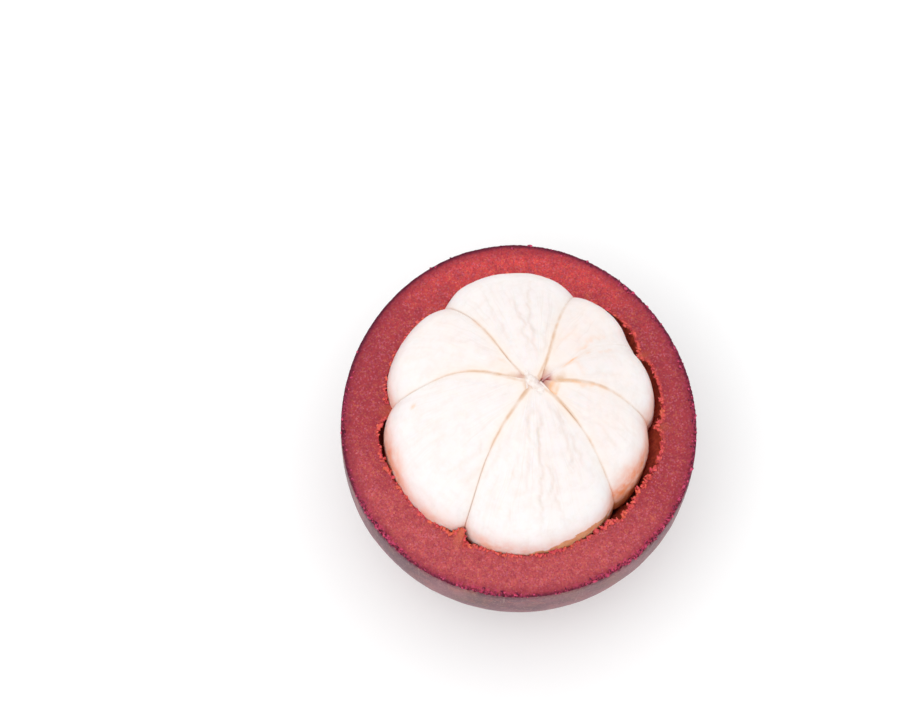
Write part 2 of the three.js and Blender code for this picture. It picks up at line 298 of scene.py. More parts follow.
def flesh_material(settings):
    """Aril flesh, grown: juicy white tissue that light enters, with a moist satin surface."""
    material, add, shader, place = new_material(
        "aril_flesh", Roughness=0.42, IOR=1.38, Specular_IOR_Level=0.42,
        Subsurface_Radius=(1.0, 0.72, 0.58), Subsurface_Scale=settings.depth)
    marks = {name: add("Attribute", attribute_name=name, give="Fac") for name in (
        "flank", "veins", "vein_line", "wash", "crease", "crease_clear", "stain_and_reflection", "blush",
        "cling", "from_rind", "pit", "streak")}
    # Noise that is stretched along the arils, and sways a little.
    along = add("Attribute", attribute_name="along", give="Vector")
    drawn_out = add("VectorMath", along, (1.0, 0.055, 1.0), operation="MULTIPLY")
    sway = add("TexNoise", along, 1 / 5, 1.0, give="Color")
    streaks = add("VectorMath", sway, (1.6, 0.0, 0.0), drawn_out, operation="MULTIPLY_ADD")
    # The veins are the thin lines where a stretched noise crosses its middle value.
    coarse = add("TexNoise", streaks, 1 / 2.3, 2.0, 0.5, Distortion=0.5)
    from_middle = add("Math", add("Math", coarse, 0.5, operation="SUBTRACT"), operation="ABSOLUTE")
    line = add("MapRange", from_middle, 0.0, 0.04, 1, 0)
    fine = add("TexNoise", streaks, 1 / 1.0, 3.0, 0.5, Distortion=0.3)
    fade = add("MapRange", add("TexNoise", place, 1 / 9.0, 1.0), 0.35, 0.62)
    vein = add("Math", add("Math", line, fade), marks["veins"])
    cloudy = add("TexNoise", place, 1 / 1.8, 4.0, 0.65)
    # Painted light: flesh that faces sideways is painted paler and cooler against its shade.
    base = add("Mix", marks["flank"], settings.white[:], settings.flank[:])
    for share in (
            add("Math", vein, 0.2), add("Math", marks["vein_line"], 0.7),
            add("MapRange", fine, 0.45, 0.85, 0, 0.15), add("MapRange", cloudy, 0.4, 0.75, 0, 0.22)):
        base = add("Mix", share, base, settings.vein[:])
    # The wash is uneven over each aril.
    cloud = add("MapRange", add("TexNoise", place, 1 / 6.0, 3.0, 0.6), 0.3, 0.7)
    wash = add("Math", marks["wash"], add("Math", cloud, 0.35, operation="ADD"))
    base = add("Mix", wash, base, settings.wash[:])
    # A thin tan line in each crease, uneven along it, with a soft painted shade beside it.
    patchy = add("MapRange", add("TexNoise", place, 1 / 3.0, 4.0, 0.6), 0.3, 0.65, 0.35, 1)
    clear = add("Math", marks["crease_clear"], patchy)
    from_crease = add("Math", marks["crease"], operation="ABSOLUTE")
    painted_crease_shade = add("Math", add("MapRange", from_crease, 0, 2.6, 1, 0), 2, operation="POWER")
    base = add("Mix", add("Math", painted_crease_shade, add("Math", clear, 0.6)), base, settings.painted_crease_shade[:])
    crease_line = add("Math", add("MapRange", from_crease, 0.0, 0.42, 1, 0), clear)
    base = add("Mix", crease_line, base, settings.seam[:])
    # The rind's juice stain together with a painted reflection of the red rind at the lower edges, and
    # red juice soaked in, each with its own unevenness.
    uneven = add("MapRange", add("TexNoise", place, 1 / 2.4, 4.0, 0.6), 0.25, 0.75, 0.35, 1)
    base = add("Mix", add("Math", marks["stain_and_reflection"], uneven), base, settings.stain_and_reflection[:])
    soaked = add("MapRange", add("TexNoise", place, 1 / 3.5, 3.0), 0.3, 0.7, 0.5, 1)
    blush = add("Math", add("Math", marks["blush"], soaked), 0.25)
    base = add("Mix", blush, base, settings.blush[:])
    # A torn skin of the rind, with a sharp ragged upper edge.
    ragged = add("TexNoise", place, 1 / 1.6, 4.0, 0.65)
    ragged = add("Math", ragged, 0.9, 0.55, operation="MULTIPLY_ADD")
    left = add("Math", add("Math", marks["cling"], ragged), marks["from_rind"], operation="SUBTRACT")
    patch = add("MapRange", add("TexNoise", place, 1 / 1.3, 4.0, 0.65), 0.35, 0.65)
    tissue = add("Mix", patch, settings.cling[:], linear(0xD89C66))
    base = add("Mix", add("MapRange", left, 0.0, 0.22, 0, 0.85), base, tissue)
    base = add("Mix", marks["pit"], base, settings.pit[:])
    dried = add("MapRange", add("TexNoise", place, 1 / 1.0, 3.0), 0.3, 0.6, 0.35, 0.85)
    base = add("Mix", add("Math", marks["streak"], dried), base, settings.fleck[:])
    # The arils touch, so light passes on between them: no dark line where one ends in the other.
    inside = add("MapRange", from_crease, 0.2, 2.2, 0, 0.72)
    relief = add("Math", add("Math", vein, -0.6), fine, operation="ADD")
    link(shader, Base_Color=base, Subsurface_Weight=inside,
         Normal=add("Bump", 0.35, 0.05 * MM, Height=relief))
    return material


def scar_material(settings):
    """Placenta fibre, torn: a dry matt white strand with broken reddish brown ends."""
    material, add, shader, place = new_material(
        "aril_scar_fibre", Roughness=0.5, IOR=1.4, Specular_IOR_Level=0.35)
    threads = add("TexNoise", place, 1 / 0.6, 3.0, 0.6, Distortion=0.4)
    shade = add("MapRange", threads, 0.35, 0.7, 0, 0.7)
    base = add("Mix", shade, linear(0xEFE7E3), linear(0xDCCBC2))
    pit = add("Attribute", attribute_name="pit", give="Fac")
    base = add("Mix", pit, base, settings.pit[:])
    link(shader, Base_Color=base, Normal=add("Bump", 0.6, 0.08 * MM, Height=threads))
    return material


def cut_material(settings):
    """Pericarp, cut with a knife: spongy moist tissue in red grains, darker under the skin."""
    material, add, shader, place = new_material(
        "rind_cut", Roughness=0.75, IOR=1.38, Specular_IOR_Level=0.16,
        Subsurface_Weight=0.12, Subsurface_Radius=(1.0, 0.25, 0.15), Subsurface_Scale=0.5 * MM)
    marks = {name: add("Attribute", attribute_name=name, give="Fac") for name in (
        "from_skin", "from_lip", "torn", "rib")}
    # Pale red at the near side, partly the rind's own colour and partly a painted sheen; deeper at the
    # two sides, and brightest at the far side.
    where = add("SeparateXYZ", place).node.outputs
    drift = add("TexNoise", place, 1 / 7.0, 3.0, 0.6)
    drift = add("Math", drift, 14.0, -7.0, operation="MULTIPLY_ADD")
    across = add("Math", where[1], drift, operation="ADD")
    across = add("Math", where[0], 0.22, across, operation="MULTIPLY_ADD")
    beyond = add("Math", where[0], -0.2, across, operation="MULTIPLY_ADD")
    base = add("Mix", add("MapRange", across, -22, -6), settings.cut[:], settings.cut_side[:])
    base = add("Mix", add("MapRange", beyond, 13, 30), base, settings.cut_bright[:])
    # Grains of about a quarter of a millimetre, drawn as coarse as they need to show.
    cells = add("TexVoronoi", place, 1 / 0.25, give="Color")
    chance = add("SeparateColor", cells).node.outputs
    for kind, low, share, tint in (
            (0, 0.6, 0.34, 0xD98A62), (1, 0.5, 0.5, 0x8E2F48), (2, 0.7, 0.42, 0xD77A92)):
        base = add("Mix", add("MapRange", chance[kind], low, 1.0, 0, share), base, linear(tint))
    mottled = add("MapRange", add("TexNoise", place, 1 / 1.6, 4.0, 0.7), 0.38, 0.62, 0.32, 0)
    base = add("Mix", mottled, base, linear(0x8A2C40))
    fine = add("TexNoise", place, 1 / 0.22, 3.0, 0.7)
    base = add("Mix", add("MapRange", fine, 0.35, 0.7, 0.3, 0), base, linear(0x7A2838))
    # The outer band, with a ragged inner border.
    stray = add("TexNoise", place, 1 / 1.1, 4.0, 0.65)
    stray = add("Math", stray, 1.7, -0.85, operation="MULTIPLY_ADD")
    from_band = add("Math", marks["from_skin"], stray, operation="ADD")
    base = add("Mix", add("MapRange", from_band, 0.3, 2.4, 0.66, 0), base, settings.cut_dark[:])
    from_edge = add("Math", marks["from_skin"], add("Math", stray, 0.3), operation="ADD")
    edge = add("Math", add("MapRange", from_edge, 0.15, 0.85, 1, 0), 0.85)
    base = add("Mix", edge, base, linear(0x4C1A30))
    crumbly = add("MapRange", add("TexNoise", place, 1 / 0.45, 3.0, 0.6), 0.42, 0.62)
    base = add("Mix", add("Math", marks["torn"], crumbly), base, settings.crumb[:])
    # The lip is brighter, and the colour runs a little way into the face.
    from_lip = add("Math", marks["from_lip"], add("Math", stray, 0.55), operation="ADD")
    patch = add("MapRange", add("TexNoise", place, 1 / 0.9, 3.0, 0.6), 0.38, 0.6)
    torn_red = add("Mix", patch, linear(0xA8343E), settings.lip[:])
    base = add("Mix", add("MapRange", from_lip, 0.05, 0.85, 0.85, 0), base, torn_red)
    base = add("Mix", add("Math", marks["rib"], 0.85), base, linear(0xD0743F))
    relief = add("Math", fine, add("Math", chance[1], 0.6), operation="ADD")
    link(shader, Base_Color=base, Normal=add("Bump", 0.55, 0.09 * MM, Height=relief))
    return material


def torn_material(settings):
    """Pericarp, torn: wet shreds and crumbs, brighter than the cut face."""
    material, add, shader, place = new_material(
        "rind_torn", Roughness=0.5, IOR=1.38, Specular_IOR_Level=0.35,
        Subsurface_Weight=0.2, Subsurface_Radius=(1.0, 0.3, 0.2), Subsurface_Scale=0.6 * MM)
    patch = add("MapRange", add("TexNoise", place, 1 / 0.8, 3.0, 0.6), 0.4, 0.6)
    # Crumbs are pink, patched with dark purple as painted shadow between them.
    crumb = add("Mix", patch, settings.crumb[:], linear(0x5A1832))
    shred = add("Mix", patch, settings.lip[:], linear(0xD84A5A))
    orange = add("MapRange", add("TexNoise", place, 1 / 2.6, 2.0), 0.45, 0.62, 0, 0.42)
    shred = add("Mix", orange, shred, linear(0xEE8048))
    from_skin = add("Attribute", attribute_name="from_skin", give="Fac")
    at_lip = add("MapRange", from_skin, 1.6, 2.6)
    rough_height = add("TexNoise", place, 1 / 0.2, 3.0, 0.6)
    link(shader, Base_Color=add("Mix", at_lip, crumb, shred),
         Normal=add("Bump", 0.5, 0.06 * MM, Height=rough_height))
    return material


def skin_material(settings):
    """Exocarp, grown: thin leathery dusky purple skin, speckled, under a faint waxy bloom."""
    material, add, shader, place = new_material(
        "rind_skin", Roughness=0.5, IOR=1.45, Specular_IOR_Level=0.3,
        Sheen_Weight=0.07, Sheen_Roughness=0.45, Sheen_Tint=linear(0xD8B8BC))
    patch = add("MapRange", add("TexNoise", place, 1 / 11.0, 5.0, 0.62), 0.34, 0.66)
    base = add("Mix", patch, settings.skin_dark[:], settings.skin[:])
    # Brown clouds, warm patches, pale speckles and dark specks.
    for grain, detail, roughness, spread, tint in (
            (7.0, 5.0, 0.65, (0.48, 0.66, 0, 0.5), linear(0x7A5A4C)),
            (3.6, 5.0, 0.75, (0.48, 0.74, 0, 0.6), settings.skin_warm[:]),
            (0.42, 3.0, 0.6, (0.5, 0.72, 0, 0.5), linear(0xA5867F)),
            (0.7, 4.0, 0.7, (0.3, 0.46, 0.55, 0), linear(0x2F1F2A))):
        share = add("MapRange", add("TexNoise", place, 1 / grain, detail, roughness), *spread)
        base = add("Mix", share, base, tint)
    # Long dry scratches, a little paler.
    stretched = add("VectorMath", place, (1, 1, 0.16), operation="MULTIPLY")
    scratch = add("TexNoise", stretched, 1 / 1.3, 3.0, 0.7, Distortion=0.6)
    base = add("Mix", add("MapRange", scratch, 0.62, 0.72, 0, 0.4), base, linear(0xA88E86))
    pores = add("TexNoise", place, 1 / 0.5, 4.0, 0.6)
    link(shader, Base_Color=base, Normal=add("Bump", 0.5, 0.05 * MM, Height=pores))
    return material


def wall_material(settings):
    """Endocarp, peeled off the flesh: brown orange wall with fibres that run up and down."""
    material, add, shader, place = new_material(
        "rind_wall", Roughness=0.55, IOR=1.38, Specular_IOR_Level=0.3)
    stretched = add("VectorMath", place, (1, 1, 0.2), operation="MULTIPLY")
    fibre = add("TexNoise", stretched, 1 / 0.8, 4.0, 0.65, Distortion=0.4)
    base = add("Mix", add("MapRange", fibre, 0.35, 0.7), linear(0xAE4438), settings.wall[:])
    patch = add("MapRange", add("TexNoise", place, 1 / 3.0, 3.0), 0.5, 0.75, 0, 0.6)
    base = add("Mix", patch, base, linear(0xC9603A))
    top = add("MapRange", add("SeparateXYZ", place, give="Z"), 26.4, 28.4)
    base = add("Mix", add("Math", top, 0.5), base, settings.lip[:])
    link(shader, Base_Color=base, Normal=add("Bump", 0.6, 0.12 * MM, Height=fibre))
    return material


def rosette_material(settings):
    """Stigma lobes, dried on the fruit: brown wood fibre, dull and cracked."""
    material, add, shader, place = new_material(
        "stigma_wood", Roughness=0.82, IOR=1.45, Specular_IOR_Level=0.3)
    patch = add("TexNoise", place, 1 / 1.8, 5.0, 0.65)
    base = add("Mix", add("MapRange", patch, 0.3, 0.7), settings.wood[:], linear(0x7A5C46))
    crack = add("MapRange", add("TexNoise", place, 1 / 0.5, 4.0, 0.7), 0.36, 0.5, 0.7, 0)
    base = add("Mix", crack, base, linear(0x241812))
    link(shader, Base_Color=base, Normal=add("Bump", 0.7, 0.2 * MM, Height=patch))
    return material


# ---- Mesh tools --------------------------------------------------------------------------------

def merged_copy(node):
    """A node's mesh as one closed skin, its triangles paired into quads."""
    bm = bmesh.new()
    bm.from_mesh(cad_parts[node].data)
    bmesh.ops.remove_doubles(bm, verts=bm.verts, dist=0.001 * MM)
    bmesh.ops.join_triangles(
        bm, faces=bm.faces, angle_face_threshold=math.radians(70),
        angle_shape_threshold=math.radians(120), topology_influence=1.0)
    return bm


def subdivided(bm, levels):
    """The same skin as a smooth subdivision surface. Frees the mesh that it is given."""
    mesh = bpy.data.meshes.new("cage")
    bm.to_mesh(mesh)
    bm.free()
    cage = bpy.data.objects.new("cage", mesh)
    bpy.context.scene.collection.objects.link(cage)
    modifier = cage.modifiers.new("Subdivision", "SUBSURF")
    modifier.levels = modifier.render_levels = levels
    fine = bmesh.new()
    fine.from_object(cage, bpy.context.evaluated_depsgraph_get())
    bpy.data.objects.remove(cage)
    bpy.data.meshes.remove(mesh)
    return fine


def rough(place, grain_size, octaves=3):
    """Noise from about -1 to 1 at a place, with grains of about grain_size."""
    return noise.fractal(place / grain_size, 0.7, 2.0, octaves)


def smooth(value, low, high):
    """0 at low and 1 at high, smooth between them."""
    share = min(max((value - low) / (high - low), 0.0), 1.0)
    return share * share * (3 - 2 * share)


def near(tree, place, reach):
    """The nearest point of a surface and how far it is, no further than the reach."""
    point, _, _, distance = tree.find_nearest(place, reach)
    return (place + Vector((0, 0, reach)), reach) if point is None else (point, distance)


def turned(angle, sectors):
    """How strongly a direction, in radians, lies in the listed sectors."""
    total = 0.0
    for at, spread, strength in sectors:
        off = (math.degrees(angle) - at + 180) % 360 - 180
        total += strength * math.exp(-(off / spread) ** 2)
    return total


def wandering_lines(lines):
    """A tree of close points along lines that lead away from the crown, and how clear each is."""
    points, clearness = [], []
    for k, (direction, start, end, clear, bow) in enumerate(lines):
        angle = math.radians(direction)
        out = Vector((math.cos(angle), math.sin(angle), 0))
        aside = Vector((-out.y, out.x, 0))
        steps = max(1, round((end - start) / 0.08))
        for i in range(steps + 1):
            share = i / steps
            reach = start + (end - start) * share
            sway = bow * math.sin(math.pi * share) + 0.75 * noise.fractal(
                Vector((reach / 2.0, k * 5.1, 0)), 0.7, 2.0, 3)
            points.append(CROWN + (out * reach + aside * sway) * MM)
            points[-1].z = 0
            ends = min(1.0, 4 * share + 0.15, 4 * (1 - share) + 0.15) if end - start > 1 else 1.0
            uneven = 0.75 + 0.5 * noise.noise(Vector((reach / 1.5, k * 3.7, 5)))
            clearness.append(clear * ends * uneven)
    return nearest(points), clearness


def line_strength(lines, level, width):
    """How strongly a place seen from above is marked by its nearest line."""
    tree, clearness = lines
    _, index, distance = tree.find(level)
    return clearness[index] * math.exp(-(distance / width) ** 2)


def nearest(points):
    """A tree that finds the nearest of some points."""
    tree = KDTree(len(points))
    for i, point in enumerate(points):
        tree.insert(point, i)
    tree.balance()
    return tree


def surface_of(nodes):
    """A tree that finds the nearest point on some CAD nodes."""
    bm = bmesh.new()
    for node in nodes:
        bm.from_mesh(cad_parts[node].data)
    tree = BVHTree.FromBMesh(bm)
    bm.free()
    return tree


def finished(bm, name, node, materials):
    """Makes the object of a mesh, and lets it stand for its CAD node."""
    mesh = bpy.data.meshes.new(name)
    for face in bm.faces:
        face.smooth = True
    bm.to_mesh(mesh)
    bm.free()
    piece = bpy.data.objects.new(name, mesh)
    for material in materials:
        mesh.materials.append(material)
    bpy.context.scene.collection.objects.link(piece)
    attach(piece, "root")
    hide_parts(node)


# ---- Rind --------------------------------------------------------------------------------------

def sort_rind_faces(bm):
    """Gives each face of the rind's cage its surface, and creases the edges between surfaces."""
    bm.normal_update()
    heart = Vector((0, 0, CUT_HEIGHT))
    for face in bm.faces:
        middle = face.calc_center_median()
        if min(v.co.z for v in face.verts) > CUT_HEIGHT - 0.02 * MM:
            face.material_index = CUT
        elif (middle.z < ROSETTE_TOP and middle.xy.length < ROSETTE_RADIUS
              and face.normal.z < 0.2):
            face.material_index = ROSETTE
        elif face.normal.dot(middle - heart) < 0:
            face.material_index = WALL
        else:
            face.material_index = SKIN
    crease = bm.edges.layers.float.new("crease_edge")
    for edge in bm.edges:
        kinds = {face.material_index for face in edge.link_faces}
        if CUT in kinds and len(kinds) > 1:
            edge[crease] = 1.0
        elif kinds == {ROSETTE, SKIN}:
            edge[crease] = 0.7
        elif kinds == {ROSETTE} and edge.calc_face_angle(0) > math.radians(12):
            edge[crease] = 0.45


def refine_cut(bm, cuts):
    """Divides the cut face further, so that its torn edges have room."""
    edges = [e for e in bm.edges if CUT in {f.material_index for f in e.link_faces}]
    bmesh.ops.subdivide_edges(bm, edges=edges, cuts=cuts, use_grid_fill=True)


def border(bm, kind):
    """Points on the line between the cut face and another surface."""
    return [v.co.copy() for v in bm.verts
            if {CUT, kind} <= {f.material_index for f in v.link_faces}]


def roughen_rind(bm, settings):
    """Moves the rind's points: dents in the skin, grain on the cut, tears at its two edges."""
    flesh = surface_of(ARILS)
    from_skin = bm.verts.layers.float.new("from_skin")
    from_lip = bm.verts.layers.float.new("from_lip")
    torn = bm.verts.layers.float.new("torn")
    rib = bm.verts.layers.float.new("rib")
    rim, lip = nearest(border(bm, SKIN)), nearest(border(bm, WALL))
    bm.normal_update()
    moves = []
    for vert in bm.verts:
        place = vert.co
        kinds = {f.material_index for f in vert.link_faces}
        skin_gap = rim.find(place)[2] / MM
        lip_gap = lip.find(place)[2] / MM
        angle = math.atan2(place.y, place.x)
        outward = Vector((math.cos(angle), math.sin(angle), 0))
        tear = turned(angle, TORN_EDGE)
        rip = 0.35 + turned(angle, TORN_LIP)
        vert[from_skin], vert[from_lip] = skin_gap, lip_gap
        vert[torn] = min(1.0, tear) * (1 - smooth(skin_gap, 0.5, 1.5))
        move = Vector()
        if CUT in kinds or WALL in kinds:
            for at, inwards, up in RIBS:
                off = (math.degrees(angle) - at + 180) % 360 - 180
                share = math.exp(-(math.radians(off) * place.xy.length / RIB_WIDTH) ** 2)
                share *= math.exp(-(lip_gap / 1.5) ** 2)
                move += (Vector((0, 0, up)) - outward * inwards) * MM * share
                vert[rib] = max(vert[rib], share * min(1.0, 0.5 * inwards))
            by_lip = math.exp(-(lip_gap / 0.75) ** 2)
            point, _, _, gap = flesh.find_nearest(place)
            is_open = min(1.0, turned(angle, OPEN_GAP))
            below = (CUT_HEIGHT - place.z) / MM
            shut = (1 - is_open) * math.exp(-(lip_gap / 1.9) ** 2) + is_open * smooth(below, 1.5, 6)
            move += Vector(((point - place).x, (point - place).y, 0)).normalized() * (
                (gap + 0.06 * MM) * shut)
            jag = 1.2 * rough(place + Vector((0.3, 0, 0)), 0.5 * MM, 4)
            jag += 0.8 * rough(place, 2.2 * MM, 2)
            jag = max(jag, -0.12 - is_open)
            move -= outward * settings.tear * by_lip * rip * (0.1 + 0.7 * jag)
            if CUT in kinds:
                lift = 0.1 + 0.7 * rough(place, 0.8 * MM, 4)
                move.z += settings.tear * by_lip * min(rip, 1.0) * lift
        if CUT in kinds:
            by_skin = math.exp(-(skin_gap / 0.8) ** 2)
            move.z += settings.grain * (rough(place, 0.5 * MM, 3) + 1.6 * rough(place, 5 * MM, 2))
            move.z += settings.tear * by_skin * (0.15 + tear) * (rough(place, 0.6 * MM, 4) - 0.15)
        if SKIN in kinds:
            by_cut = math.exp(-(skin_gap / 0.5) ** 2)
            nick = abs(rough(place, 0.7 * MM, 3))
            move -= outward * settings.tear * 0.45 * by_cut * (0.2 + tear) * nick
            dent = 0.5 - 0.4 * rough(place, 11 * MM, 2) - 0.16 * rough(place, 2.5 * MM, 2)
            move -= vert.normal * settings.dent * dent * smooth(skin_gap, 0.5, 5)
        if WALL in kinds:
            move += vert.normal * 0.1 * MM * rough(place, 1.6 * MM, 3) * smooth(lip_gap, 0.3, 2)
        if ROSETTE in kinds and place.z > 0.05 * MM:
            move.z += 0.12 * MM * rough(place, 1.2 * MM, 3)
        moves.append(move)
    for vert, move in zip(bm.verts, moves):
        vert.co += move


def add_bit(bm, place, turn, sizes, distances, chance, pointed):
    """One crumb or one pointed shred, turned and made uneven, in the torn material."""
    matrix = Matrix.Translation(place) @ turn.to_4x4() @ Matrix.Diagonal((*sizes, 1))
    if pointed:
        made = bmesh.ops.create_cone(
            bm, cap_ends=True, segments=5, radius1=1, radius2=0.3, depth=2, matrix=matrix)["verts"]
    else:
        made = bmesh.ops.create_icosphere(bm, subdivisions=1, radius=1, matrix=matrix)["verts"]
    layers = [bm.verts.layers.float[name] for name in ("from_skin", "from_lip", "torn")]
    for vert in made:
        vert.co += Vector([chance.uniform(-0.22, 0.22) * min(sizes) for _ in range(3)])
        for layer, value in zip(layers, distances):
            vert[layer] = value
    for face in {f for v in made for f in v.link_faces}:
        face.material_index = TORN


def scatter_bits(bm, rim_points, lip_points, settings):
    """Crumbs along the torn skin edge, and shreds along the torn lip."""
    chance = random.Random(7)
    rim_points = sorted(rim_points, key=lambda p: math.atan2(p.y, p.x))
    lip_points = sorted(lip_points, key=lambda p: math.atan2(p.y, p.x))
    left = settings.crumbs
    while left:
        point = chance.choice(rim_points)
        angle = math.atan2(point.y, point.x)
        if chance.random() > 0.06 + turned(angle, TORN_EDGE):
            continue
        left -= 1
        inward = -Vector((math.cos(angle), math.sin(angle), 0))
        place = point + inward * chance.uniform(0.0, 0.8) * MM
        place.z += chance.uniform(-0.05, 0.12) * MM
        radius = chance.uniform(0.1, 0.26) * MM
        turn = Matrix.Rotation(angle, 3, "Z") @ Matrix.Rotation(chance.uniform(-0.8, 0.8), 3, "X")
        sizes = (radius, radius * chance.uniform(1.0, 2.4), radius * chance.uniform(0.5, 0.9))
        add_bit(bm, place, turn, sizes, (0.5, 5, 1), chance, False)
    left = settings.shreds
    while left:
        point = chance.choice(lip_points)
        angle = math.atan2(point.y, point.x)
        if chance.random() > 0.1 + turned(angle, TORN_LIP):
            continue
        left -= 1
        inward = -Vector((math.cos(angle), math.sin(angle), 0))
        place = point + inward * chance.uniform(-0.3, 0.12) * MM
        place.z += chance.uniform(-0.12, 0.22) * MM
        lean = Matrix.Rotation(chance.uniform(-1.7, -0.2), 3, "Y")
        turn = Matrix.Rotation(angle + chance.uniform(-1.3, 1.3), 3, "Z") @ lean
        width = chance.uniform(0.14, 0.46) * MM
        sizes = (width * 0.5, width, chance.uniform(0.18, 0.5) * MM)
        add_bit(bm, place, turn, sizes, (5, 0.1, 0), chance, True)


class MANGOSTEEN_OT_rind(bpy.types.Operator):
    """Replace the rind with its cut face, skin, cavity wall, rosette and torn edges"""

    bl_idname = "mangosteen.rind"
    bl_label = "Rind"

    def execute(self, context):
        settings = context.scene.mangosteen_rind
        bm = merged_copy("rind")
        sort_rind_faces(bm)
        bm = subdivided(bm, 2)
        refine_cut(bm, 2)
        roughen_rind(bm, settings)
        scatter_bits(bm, border(bm, SKIN), border(bm, WALL), settings)
        finished(bm, "mangosteen_rind", "rind", [
            cut_material(settings), skin_material(settings), wall_material(settings),
            rosette_material(settings), torn_material(settings)])
        return {"FINISHED"}


# ---- Flesh -------------------------------------------------------------------------------------

def pit_depth(flat):
    """How deep in a pit a place near the crown is, from 0 to 1."""
    return min(1.0, sum(
        red * math.exp(-((flat / MM - Vector((x, y))).length / radius) ** 2)
        for x, y, radius, red in PITS))


def shape_aril(bm, node, trees, settings):
    """Closes the seams, adds ridges and soft unevenness, and marks where the colours go."""
    k = ARILS.index(node)
    beside = [ARILS[(k + 1) % 7], ARILS[k - 1]]
    low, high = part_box(node)
    middle = (low + high) / 2
    facing = math.atan2(middle.y - CROWN.y, middle.x - CROWN.x)
    marks = {name: bm.verts.layers.float.new(name) for name in (
        "wash", "stain_and_reflection", "flank", "veins", "vein_line", "streak", "pit", "blush", "from_rind",
        "cling")}
    along = bm.verts.layers.float_vector.new("along")
    seed = Vector((k * 7.3, 0, 0))
    bm.normal_update()
    moves = []
    for vert in bm.verts:
        place = vert.co
        shown = smooth(place.z, CUT_HEIGHT - 7 * MM, CUT_HEIGHT - 4 * MM)
        if not shown:
            continue
        flat = (place - CROWN).xy
        angle = math.atan2(place.y, place.x)
        turn = (math.atan2(flat.y, flat.x) - facing + math.pi) % (2 * math.pi) - math.pi
        drop = math.atan2(flat.length, place.z - FLESH_MIDDLE.z)
        travel = Vector((turn, drop, 0)) * FLESH_RADIUS + seed
        found = {name: near(trees[name], place, 8 * MM) for name in beside}
        other = min(beside, key=lambda name: found[name][1])
        point, gap = found[other]
        grown = {node, other} == GROWN_TOGETHER
        pressed = settings.pressed * (1.7 if grown else 1)
        # The arils are pressed together as far as this gap, so that a soft fold is left.
        closing = 1 - smooth(gap, pressed, pressed + 4.5 * MM)
        move = (point - place).normalized() * (min(gap, pressed) / 2 + OVERLAP) * closing
        open_gap = max(0.0, gap - pressed)
        outward = (place - FLESH_MIDDLE).normalized()
        fold = 1 - smooth(gap, 0, pressed + 1.6 * MM)
        move += outward * settings.fill * (2.0 if grown else 1) * fold
        exposed = smooth(open_gap, 0.0, 1.6 * MM)
        bulge = PLUMP.get(node, 0) * smooth(flat.length, 9 * MM, 17 * MM) * exposed
        move += Vector((flat.x, flat.y, 0)).normalized() * bulge * MM
        above = smooth(place.z, 40 * MM, 42 * MM)
        drawn = math.exp(-(flat.length / TIP_PULL[node in JOINED]) ** 2) * above
        move -= Vector((flat.x, flat.y, 0)) * drawn
        flat = flat * (1 - drawn)
        hole = pit_depth(flat) * above
        move.z -= PIT_DEPTH * hole
        level = Vector((CROWN.x + flat.x, CROWN.y + flat.y, 0))
        vein = line_strength(trees["veins"], level, 0.24 * MM) * shown
        lengthwise = Vector((travel.x * 0.9 + 0.5 * math.sin(travel.y * 0.4 + k), travel.y * 0.07, 0))
        ridges = noise.fractal(lengthwise, 0.8, 2.0, 3) * smooth(flat.length, 1 * MM, 5 * MM)
        swelling = 0.6 * rough(place + seed, 6 * MM, 2)
        move += vert.normal * exposed * (
            settings.ridge * ridges + settings.swell * swelling - 0.03 * MM * vein)
        depth = (CUT_HEIGHT + 4 * MM - place.z) / MM
        from_rind = near(trees["rind"], place, 5 * MM)[1] / MM
        vert[marks["wash"]] = WARMTH[node]
        # Orange at the lower edges: a juice stain next to the rind, and a painted reflection of the red
        # rind on lower sides that face sideways.
        stain_and_reflection_share = turned(angle, STAIN_AND_REFLECTION)
        painted_rind_reflection = smooth(depth, -4.5, 3.5) * (1 - smooth(vert.normal.z, 0.2, 0.75))
        painted_rind_reflection **= 1.5 / (0.2 + stain_and_reflection_share)
        at_rind = math.exp(-(from_rind / 1.4) ** 2)
        vert[marks["stain_and_reflection"]] = min(1.0, stain_and_reflection_share * max(1.2 * painted_rind_reflection, at_rind))
        # Painted light: how far the flesh faces sideways, where it is painted paler against its shade.
        vert[marks["flank"]] = 1 - smooth(vert.normal.z, 0.25, 0.8)
        vert[marks["veins"]] = 1 - 0.8 * smooth(math.degrees(drop), 40, 75)
        vert[marks["vein_line"]] = vein
        vert[marks["streak"]] = line_strength(trees["streaks"], level, 0.33 * MM) * shown
        vert[marks["pit"]] = hole
        vert[marks["blush"]] = turned(angle, BLUSH) * smooth(depth, -5.5, 4)
        vert[marks["from_rind"]] = from_rind if place.z > CUT_HEIGHT - 1 * MM else 0
        vert[marks["cling"]] = turned(angle, CLINGING)
        vert[along] = travel
        moves.append((vert, move * shown))
    for vert, move in moves:
        vert.co += move


def mark_creases(bm, node, shapes):
    """Marks how far each point is from a neighbouring aril, less than nothing inside it."""
    k = ARILS.index(node)
    crease = bm.verts.layers.float.new("crease")
    clear = bm.verts.layers.float.new("crease_clear")
    for vert in bm.verts:
        nearest_gap, at = 3.0, node
        vert[crease] = nearest_gap
        if vert.co.z < CUT_HEIGHT - 4 * MM:
            continue
        for name in (ARILS[(k + 1) % 7], ARILS[k - 1]):
            point, normal, _, distance = shapes[name].find_nearest(vert.co, 3 * MM)
            if point is not None:
                sign = 1 if (vert.co - point).dot(normal) > 0 else -1
                gap = sign * distance / MM
                if gap < nearest_gap:
                    nearest_gap, at = gap, name
        vert[crease] = nearest_gap
        vert[clear] = (0.2 if {node, at} == GROWN_TOGETHER else 1) * (
            1 - 0.62 * smooth((vert.co - CROWN).xy.length, 6 * MM, 19 * MM))


